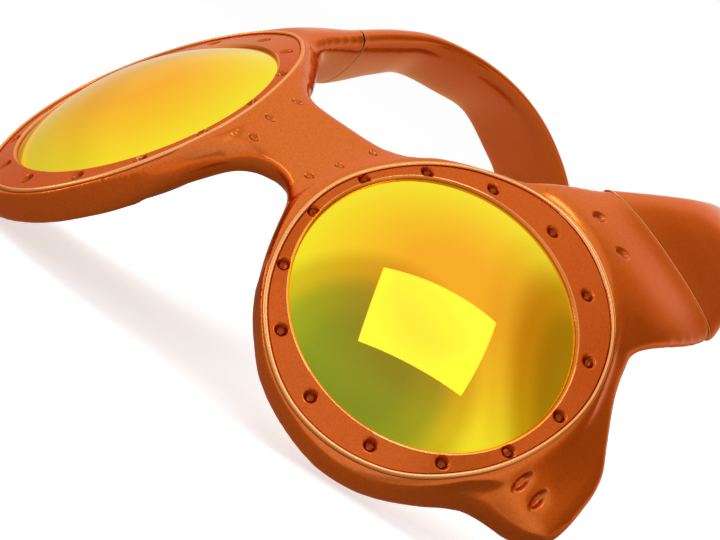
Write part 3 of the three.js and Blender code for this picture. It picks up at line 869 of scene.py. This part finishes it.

# %% [markdown]
# The crisp features are the pockets, the ends at the seams, the beds of the nose pads and the
# hinge barrels. Had they been there before the remesh, it would have melted them. They are cut
# last, with exact booleans. The rim of each seam gets a painted highlight, as on the arm.

# %% Front frame: the crisp cuts
POCKET_WIDE, POCKET_TURNS = SPUN_R + 0.25 * MM, 240
POCKET_TOP, POCKET_LOW = 12 * MM, -20 * MM
LENS_SEAT = -3.51 * MM
SHELF, SHELF_PLAY = 3 * MM, 0.1 * MM
SEE_R = SEAT_R - SHELF + SHELF_PLAY
SEAM_BLOCK = (44, 16, 8)  # millimetres
SEAM_HIGHLIGHT, SEAM_NEAR = 0.6, 0.02 * MM


def pocket():
    """What the front leaves open for ring, lens and sight."""
    step = RING_BACK - GAP
    corners = [(0, POCKET_TOP), (POCKET_WIDE, POCKET_TOP), (POCKET_WIDE, step), (SEAT_R, step)]
    corners += [(SEAT_R, LENS_SEAT), (SEE_R, LENS_SEAT), (SEE_R, POCKET_LOW), (0, POCKET_LOW)]
    return turned(corners, POCKET_TURNS, False)


def seam_block():
    """A block that lies on the far side of the seam."""
    bm = bmesh.new()
    wide, high, long = SEAM_BLOCK
    sides = (ACROSS * wide * MM, OUT * high * MM, AWAY * long * MM)
    place = Matrix.Translation(SEAM_MIDDLE + AWAY * (long / 2) * MM)
    bmesh.ops.create_cube(bm, size=1, matrix=place @ Matrix(sides).transposed().to_4x4())
    bmesh.ops.recalc_face_normals(bm, faces=bm.faces)
    return bm


hole = pocket()
bmesh.ops.transform(hole, matrix=FACE, verts=hole.verts)
front = boolean(front, both(joined(hole, seam_block())))
front = boolean(front, both(joined(nose_pad(GAP), barrels(KNUCKLE_R, ARM_BARREL, HINGE_GAP))))
front = boolean(front, both(barrels(KNUCKLE_R, FRONT_BARRELS)), "UNION")
front = boolean(front, both(barrels(BORE_R, BORE)))
painted_highlight = front.verts.layers.float.new("painted_highlight")
to_worn = WORN.inverted()
# Painted highlight along the rim of each seam on the front.
for v in front.verts:
    p = to_worn @ v.co
    p.x = abs(p.x)
    v[painted_highlight] = SEAM_HIGHLIGHT * (abs((p - SEAM_MIDDLE).dot(AWAY)) < SEAM_NEAR)
piece = add_object(front, "front_shell", sharp=42)
finish_piece(piece, "front", "front_frame", copper)

# %% [markdown]
# A lens is a slice of a hollow ball. It could be spun from an arc, which bunches its faces in the
# middle in the same way. A fine UV sphere already has the right curve: its top is kept by cutting
# it with a plane, and solidify gives it thickness, so both faces stay true to one centre. Each
# vertex keeps its distance from the middle for the mirror film.

# %% Lenses
LENS_THICK = 2 * MM
for name, side in SIDES.items():
    lens = bmesh.new()
    bmesh.ops.create_uvsphere(lens, u_segments=160, v_segments=240, radius=LENS_CURVE)
    bmesh.ops.bisect_plane(
        lens,
        geom=lens.verts[:] + lens.edges[:] + lens.faces[:],
        plane_co=(0, 0, math.sqrt(LENS_CURVE**2 - LENS_R**2)),
        plane_no=(0, 0, -1),
        clear_outer=True,
    )
    bmesh.ops.solidify(lens, geom=lens.faces[:], thickness=LENS_THICK)
    bmesh.ops.recalc_face_normals(lens, faces=lens.faces)
    rim = lens.verts.layers.float.new("rim")
    for v in lens.verts:
        v[rim] = v.co.xy.length / LENS_R
    place = eye(side) @ Matrix.Translation((0, 0, LENS_CENTRE))
    bmesh.ops.transform(lens, matrix=place, verts=lens.verts)
    piece = add_object(lens, f"lens_dome_{name}")
    finish_piece(piece, "front", f"lens_{name}", mirror)

# %% [markdown]
# The ring holds the lens. It has a bevelled inner edge, a sloping face, and a round bead along
# its outer edge that covers the joint with the frame. It could be a bevelled curve, but its
# width changes all the way round. So its corners are listed once, from the foot on the lens to
# the seat, and turned with the oval edge. The face has many corners, ready for the dimples.

# %% Lens rings: the turned shape
BEAD_R, BEAD_OUT = 0.42 * MM, 0.5 * MM
BEAD_FROM, BEAD_TO, BEAD_STEPS = 185, -10, 10  # degrees round the bead
FACE_STEPS, RING_TURNS = 28, 720
FACE_IN, FACE_OUT = SIGHT + 0.08 * MM, SPUN_R - 0.06 * MM
LIP_LOW, LIP_HIGH, GROOVE = -0.12 * MM, -0.03 * MM, -0.16 * MM
LENS_PLAY = 0.04 * MM

foot = SIGHT - 0.4 * MM
corners = [(foot, lens_front(foot) + LENS_PLAY)]
corners += [(SIGHT - INNER_LIP, LIP_LOW), (SIGHT, LIP_HIGH)]
corners += [(r, 0) for r in steps(FACE_IN, FACE_OUT, FACE_STEPS)] + [(SPUN_R, GROOVE)]
for turn in steps(BEAD_FROM, BEAD_TO, BEAD_STEPS):
    a = math.radians(turn)
    corners.append((SPUN_R + BEAD_OUT + BEAD_R * math.cos(a), BEAD_R * math.sin(a)))
corners += [(SPUN_R + BEAD_OUT + BEAD_R, BEAD_FOOT), (SPUN_R, BEAD_FOOT), (SPUN_R, RING_BACK)]
corners += [(SEAT_R, RING_BACK), (SEAT_R, lens_front(SEAT_R) + LENS_PLAY)]
ring = turned(corners, RING_TURNS, True)
print("ring:", len(corners), "corners,", len(ring.faces), "faces")

# %% [markdown]
# Fourteen round dimples are pressed into each ring's face. They could be booleans, but those
# would leave hard lips. Pressing the vertices of the finely spun face gives soft ones, and lets
# each vertex remember how deep it lies, for the lacquer's painted shade. The bead and the inner
# edge are marked for a painted highlight.

# %% Lens rings: the dimples
DIMPLES = 14
DIMPLE_FIRST = math.radians(12.5)
DIMPLE_PLACE = 0.44  # across the face, from the sight
DIMPLE_R, DIMPLE_DEEP = 1.1 * MM, 0.95 * MM
HIGHLIGHT_NEAR = 0.12 * MM
ON_FACE = 0.02 * MM

pit = ring.verts.layers.float.new("pit")
painted_highlight = ring.verts.layers.float.new("painted_highlight")
for v in ring.verts:
    r, angle = v.co.xy.length, math.atan2(v.co.y, v.co.x)
    above = v.co.z - ring_face(r)
    # Painted highlight on the bead and the inner edge.
    v[painted_highlight] = float(above > HIGHLIGHT_NEAR or abs(r - SIGHT) < HIGHLIGHT_NEAR)
    i = round((angle - DIMPLE_FIRST) / math.tau * DIMPLES)
    centre = DIMPLE_FIRST + i * math.tau / DIMPLES
    middle_r = SIGHT + (oval(centre) - SIGHT) * DIMPLE_PLACE
    if abs(above) < ON_FACE and SIGHT < r < oval(angle):
        # The pit value sets the dimple's depth and also the lacquer's painted shade there.
        v[pit] = bowl(math.hypot(r - middle_r, middle_r * (angle - centre)) / DIMPLE_R)
        v.co.z -= DIMPLE_DEEP * v[pit]
bmesh.ops.transform(ring, matrix=FACE, verts=ring.verts)
for name, side in SIDES.items():
    piece = add_object(on_side(ring, side), f"ring_trim_{name}", sharp=40)
    finish_piece(piece, "front", f"lens_ring_{name}", ring_copper_shaded)

# %% [markdown]
# The object lies on white paper with a soft shadow. A brighter lamp would whiten the paper, but
# it would bleach the object too. So the paper glows a little for the camera alone. Shiny finishes
# see a warmer floor, which is bright close by and far off and dim in between.

# %% Floor
FLOOR_HALF = 6
FLOOR_GLOW = 0.6
PAPER = 0.85
WARM = (1, 0.74, 0.46, 1)
WHITE = (1, 1, 1, 1)
FLOOR_START = 0.3  # the ramp below starts this far in front of the origin
FLOOR_SEEN = ((0.1, 1.0), (0.18, 0.5), (0.24, 0.28), (0.33, 0.5), (0.5, 0.65), (0.9, 0.95))
FAR_LEFT, FAR_LEFT_GAIN = 0.15, -3.0


def stage_object(bm, name):
    obj = add_object(bm, name)
    return obj


sheet = bmesh.new()
bmesh.ops.create_grid(sheet, x_segments=1, y_segments=1, size=FLOOR_HALF)
floor = stage_object(sheet, "floor")
paper, tree, shader = new_material("paper")
path = tree.nodes.new("ShaderNodeLightPath")
camera_ray, glossy_ray = path.outputs["Is Camera Ray"], path.outputs["Is Glossy Ray"]
spot = tree.nodes.new("ShaderNodeSeparateXYZ")
tree.links.new(tree.nodes.new("ShaderNodeTexCoord").outputs["Object"], spot.inputs[0])
depth = math_node(tree, "ADD", spot.outputs["Y"], FLOOR_START)
seen = ramp_node(tree, depth, [(at, (tone, tone, tone, 1)) for at, tone in FLOOR_SEEN])
left = math_node(tree, "ADD", spot.outputs["X"], FAR_LEFT)
left = math_node(tree, "MINIMUM", math_node(tree, "MULTIPLY", left, FAR_LEFT_GAIN), 1.0)
seen = math_node(tree, "MULTIPLY", glossy_ray, math_node(tree, "MAXIMUM", seen, left))
glow = math_node(tree, "MULTIPLY", camera_ray, FLOOR_GLOW)
tree.links.new(math_node(tree, "ADD", glow, seen), shader.inputs["Emission Strength"])
unseen = math_node(tree, "MULTIPLY", glossy_ray, PAPER)
tree.links.new(math_node(tree, "SUBTRACT", PAPER, unseen), shader.inputs["Base Color"])
warm = ramp_node(tree, glossy_ray, ((0, WHITE), (1, WARM)))
tree.links.new(warm, shader.inputs["Emission Color"])
set_values(shader, Roughness=0.9, Specular_IOR_Level=0.0)
floor.data.materials.append(paper)
print("floor:", 2 * FLOOR_HALF, "m wide")

# %% [markdown]
# The ground behind the paper is white too. A white world could light the whole scene, but then
# nothing would have a dark side. So it is full white for the camera and dim for everything else.

# %% World
DIM = 0.45

world = bpy.data.worlds.new("studio")
scene.world = world
world.use_nodes = True
tree = world.node_tree
path = tree.nodes.new("ShaderNodeLightPath")
background = tree.nodes["Background"]
lit = math_node(tree, "MULTIPLY", path.outputs["Is Camera Ray"], 1 - DIM)
tree.links.new(math_node(tree, "ADD", lit, DIM), background.inputs["Strength"])
background.inputs["Color"].default_value = WHITE
print("world:", DIM, "for all but the camera")

# %% [markdown]
# A mirror shows nothing of its own, only what stands round it. A panorama picture could be wrapped
# round the scene; here a plain tent does it. It is white, with a dim bluish doorway on the
# camera's side, a dark brown wall far to the right and a slightly darker hem. Each of these is a
# colour ramp over the angle from its middle, so it needs no image.

# %% Walls of the tent
TENT_R = 1.6
DOORWAY = (20, 23)  # degrees round from the front towards +X, degrees up
DARK_WALL = (132, 33)
OVERHEAD = (0, 90)
TENT_WALLS = (  # middle, then stops: 1 is straight at it, 0.5 square to it
    (
        DOORWAY,
        (
            (0.82, WHITE),
            (0.883, (0.74, 0.68, 0.6, 1)),
            (0.941, (0.38, 0.5, 0.72, 1)),
            (0.985, (0.28, 0.42, 0.78, 1)),
        ),
    ),
    (
        DARK_WALL,
        (
            (0.82, WHITE),
            (0.872, (0.9, 0.85, 0.75, 1)),
            (0.933, (0.56, 0.36, 0.14, 1)),
            (0.97, (0.38, 0.23, 0.08, 1)),
        ),
    ),
    (
        OVERHEAD,
        (
            (0.5, (0.76, 0.75, 0.74, 1)),
            (0.59, (0.85, 0.84, 0.84, 1)),
            (0.7, WHITE),
        ),
    ),
)


def aim(place):
    """Unit vector towards a place given in degrees."""
    turn, up = (math.radians(x) for x in place)
    return Vector((math.sin(turn) * math.cos(up), -math.cos(turn) * math.cos(up), math.sin(up)))


def wall(tree, place, stops):
    """Colour ramp over the angle from a place on the tent: 1 straight at it, 0 straight away."""
    coordinates = tree.nodes.new("ShaderNodeTexCoord")
    along = tree.nodes.new("ShaderNodeVectorMath")
    along.operation = "DOT_PRODUCT"
    along.inputs[1].default_value = aim(place) / TENT_R
    tree.links.new(coordinates.outputs["Object"], along.inputs[0])
    share = math_node(tree, "MULTIPLY", math_node(tree, "ADD", along.outputs["Value"], 1.0), 0.5)
    return ramp_node(tree, share, stops)


print("walls:", ", ".join(str(place) for place, _ in TENT_WALLS))

# %% [markdown]
# The tent itself is a sphere that glows in the product of its walls. Left as it is, it would hide
# the studio and light the whole scene. So it is switched off for the camera, for diffuse light
# and for shadows, and only shiny finishes see it.

# %% Tent
ball = bmesh.new()
bmesh.ops.create_uvsphere(ball, u_segments=64, v_segments=32, radius=TENT_R)
tent = stage_object(ball, "tent")
tent.visible_camera = tent.visible_diffuse = tent.visible_shadow = False
cloth, tree, shader = new_material("tent")
tent_colour, *others = (wall(tree, place, stops) for place, stops in TENT_WALLS)
for other in others:
    product = tree.nodes.new("ShaderNodeVectorMath")
    product.operation = "MULTIPLY"
    tree.links.new(tent_colour, product.inputs[0])
    tree.links.new(other, product.inputs[1])
    tent_colour = product.outputs[0]
tree.links.new(tent_colour, shader.inputs["Emission Color"])
set_values(shader, Base_Color=(0, 0, 0, 1), Emission_Strength=1.0, Specular_IOR_Level=0.0)
tent.data.materials.append(cloth)
print("tent:", 2 * TENT_R, "m wide")

# %% [markdown]
# One softbox hangs where the near lens mirrors it. It could light everything, but it would bleach
# the copper. Light linking gives it to the lenses alone: the lamp is told which collection of
# pieces it may light.

# %% Softbox for the lenses
SOFTBOX_PLACE, SOFTBOX_SIZE, SOFTBOX_POWER = (0.234, -0.331, 0.479), (0.456, 0.352), 0.8
SOFTBOX_ALONG, SOFTBOX_BACK = (0.754, 0.656, 0.024), (0.403, -0.491, 0.755)


def lamp(name, matrix, size, power):
    data = bpy.data.lights.new(name, "AREA")
    data.shape = "RECTANGLE"
    data.size, data.size_y = size
    data.energy = power
    obj = bpy.data.objects.new(name, data)
    obj.matrix_world = matrix
    scene.collection.objects.link(obj)
    return obj


def pieces_in(name, *finishes):
    """Collection of the pieces with one of these finishes, for light linking."""
    group = bpy.data.collections.new(name)
    for piece in pieces:
        if piece.data.materials[0] in finishes:
            group.objects.link(piece)
    return group


along, back = Vector(SOFTBOX_ALONG).normalized(), Vector(SOFTBOX_BACK).normalized()
axes = Matrix((along, back.cross(along), back)).transposed().to_4x4()
softbox = lamp("softbox", Matrix.Translation(SOFTBOX_PLACE) @ axes, SOFTBOX_SIZE, SOFTBOX_POWER)
softbox.light_linking.receiver_collection = pieces_in("mirrors", mirror)

# %% [markdown]
# Copper shows its form by its bright edges, so it has four weak lamps of its own: two fills, a
# spark for the bridge and a strip for the lower rims. One strong lamp could do, but would show in
# the lenses as well. A last lamp above gives the soft shadow on the paper, and is hidden from
# reflections.

# %% Lamps for the copper and the shadow
TOP_PLACE, TOP_SIZE, TOP_POWER = (-0.45, 0.1, 0.7), (0.6, 0.6), 3.0
COPPER_LAMPS = (  # name, place in degrees, size in metres, watts, colour
    ("front_fill", (16, 27), (1.0, 1.0), 1.9, (1, 0.9, 0.8)),
    ("back_fill", (165, 48), (0.6, 0.6), 0.1, (1, 0.9, 0.8)),
    ("spark", (38, 56), (0.2, 0.14), 0.55, (1, 1, 1)),
    ("strip", (-42, 8), (0.9, 0.04), 0.7, (1, 1, 1)),
)


def facing(place, target):
    turn = (target - place).to_track_quat("-Z", "Y").to_matrix().to_4x4()
    return Matrix.Translation(place) @ turn


middle = (Vector(cad_box[0]) + Vector(cad_box[1])) / 2
lacquered = pieces_in("lacquered", copper, ring_copper_shaded)
for name, place, size, power, colour in COPPER_LAMPS:
    copper_lamp = lamp(name, facing(middle + aim(place), middle), size, power)
    copper_lamp.data.color = colour
    copper_lamp.light_linking.receiver_collection = lacquered
top = lamp("top", facing(middle + Vector(TOP_PLACE), middle), TOP_SIZE, TOP_POWER)
top.visible_glossy = False

# %% [markdown]
# The photograph is taken from ahead and from the wearer's left and, as worn, from below, with the
# camera rolled a little. The camera could be turned by eye until the outlines match. It is given
# by two of its axes instead, in the worn pose, where the view was measured.

# %% Camera
IMAGE_WIDTH, FOCAL_PIXELS = 720, 2454.7
SENSOR = 36
TARGET = Vector((20.07, -1.98, 0)) * MM
DISTANCE = 390.2 * MM
ROLL = math.radians(-0.75)
CAMERA_BACK, CAMERA_RIGHT = (0.5293, -0.4956, 0.6886), (0.6835, 0.7299, 0)
CLIP_NEAR, CLIP_FAR = 0.01, 50

back, right = Vector(CAMERA_BACK).normalized(), Vector(CAMERA_RIGHT).normalized()
right = right * math.cos(ROLL) + back.cross(right) * math.sin(ROLL)
camera_data = bpy.data.cameras.new("camera")
camera_data.sensor_fit = "HORIZONTAL"
camera_data.sensor_width = SENSOR
camera_data.lens = SENSOR * FOCAL_PIXELS / IMAGE_WIDTH
camera_data.clip_start, camera_data.clip_end = CLIP_NEAR, CLIP_FAR
camera = bpy.data.objects.new("camera", camera_data)
scene.collection.objects.link(camera)
axes = Matrix((right, back.cross(right), back)).transposed().to_4x4()
camera.matrix_world = WORN @ Matrix.Translation(TARGET + back * DISTANCE) @ axes
scene.camera = camera
scene.view_settings.view_transform = "Standard"
print("camera at", tuple(round(x, 3) for x in camera.matrix_world.translation))
